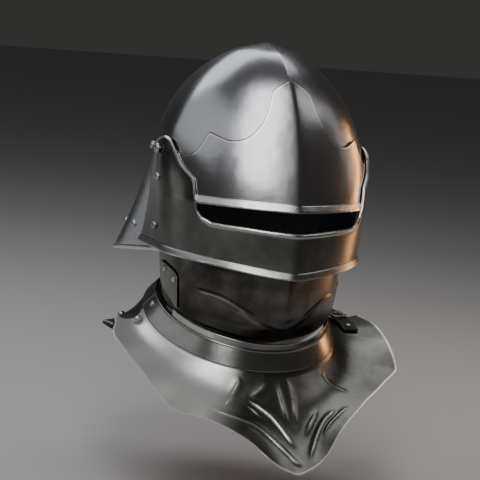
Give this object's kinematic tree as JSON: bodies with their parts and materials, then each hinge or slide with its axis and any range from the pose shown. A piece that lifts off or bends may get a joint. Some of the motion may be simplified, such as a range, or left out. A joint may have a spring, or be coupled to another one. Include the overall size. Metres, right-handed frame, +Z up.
{
  "type": "sallet helmet with bevor and gorget",
  "caption": "Polished steel sallet with a medial keel, scalloped brow plate, tail and pivoted visor, worn with a keeled bevor and a flared, fluted gorget with collar, strap and buckle.",
  "frame": {"origin": "inner face of the skull at its highest point, where the wearer's crown bears", "axes": "+Z up, the face looks along -Y, +X is the wearer's left"},
  "size_m": [0.2821, 0.3631, 0.3816],
  "materials": {
    "skull_steel": "satin polish with a cloudy blue-grey tone",
    "visor_steel": "satin polish, darker",
    "bevor_steel": "satin polish, dark",
    "gorget_steel": "satin polish with worn bright ridges",
    "rivet_steel": "bright domed heads",
    "strap_leather": "dark waxed leather"
  },
  "bodies": {
    "helmet": {"back_lame": "gorget_steel", "bevor": "bevor_steel", "bevor_rivet_left": "rivet_steel", "bevor_rivet_right": "rivet_steel", "brow_plate": "skull_steel", "buckle": "rivet_steel", "buckle_tongue": "rivet_steel", "collar_back": "gorget_steel", "collar_front": "gorget_steel", "collar_rivet": "rivet_steel", "gorget_back": "gorget_steel", "gorget_front": "gorget_steel", "hinge_plate_left": "bevor_steel", "hinge_plate_right": "bevor_steel", "hinge_rivet_back_left": "rivet_steel", "hinge_rivet_back_right": "rivet_steel", "hinge_rivet_front_left": "rivet_steel", "hinge_rivet_front_right": "rivet_steel", "lame_rivet_left": "rivet_steel", "lame_rivet_right": "rivet_steel", "shoulder_rivet": "rivet_steel", "shoulder_washer": "rivet_steel", "skull": "skull_steel", "strap": "strap_leather", "strap_rivet_back": "rivet_steel", "strap_rivet_front": "rivet_steel", "tail_rivet_back_left": "rivet_steel", "tail_rivet_back_right": "rivet_steel", "tail_rivet_front_left": "rivet_steel", "tail_rivet_front_right": "rivet_steel", "temple_rivet_left": "rivet_steel", "temple_rivet_right": "rivet_steel", "throat_lame": "bevor_steel", "visor_pivot_left": "rivet_steel", "visor_pivot_right": "rivet_steel"},
    "visor": {"visor": "visor_steel", "visor_rivet_lower_left": "rivet_steel", "visor_rivet_lower_right": "rivet_steel", "visor_rivet_upper_left": "rivet_steel", "visor_rivet_upper_right": "rivet_steel"}
  },
  "joints": [
    {"name": "visor_pivot", "type": "hinge", "parent": "helmet", "child": "visor", "pos_m": [0, -0.01571, -0.1032], "axis": [-1, 0, 0], "range_deg": [0, 50]}
  ]
}
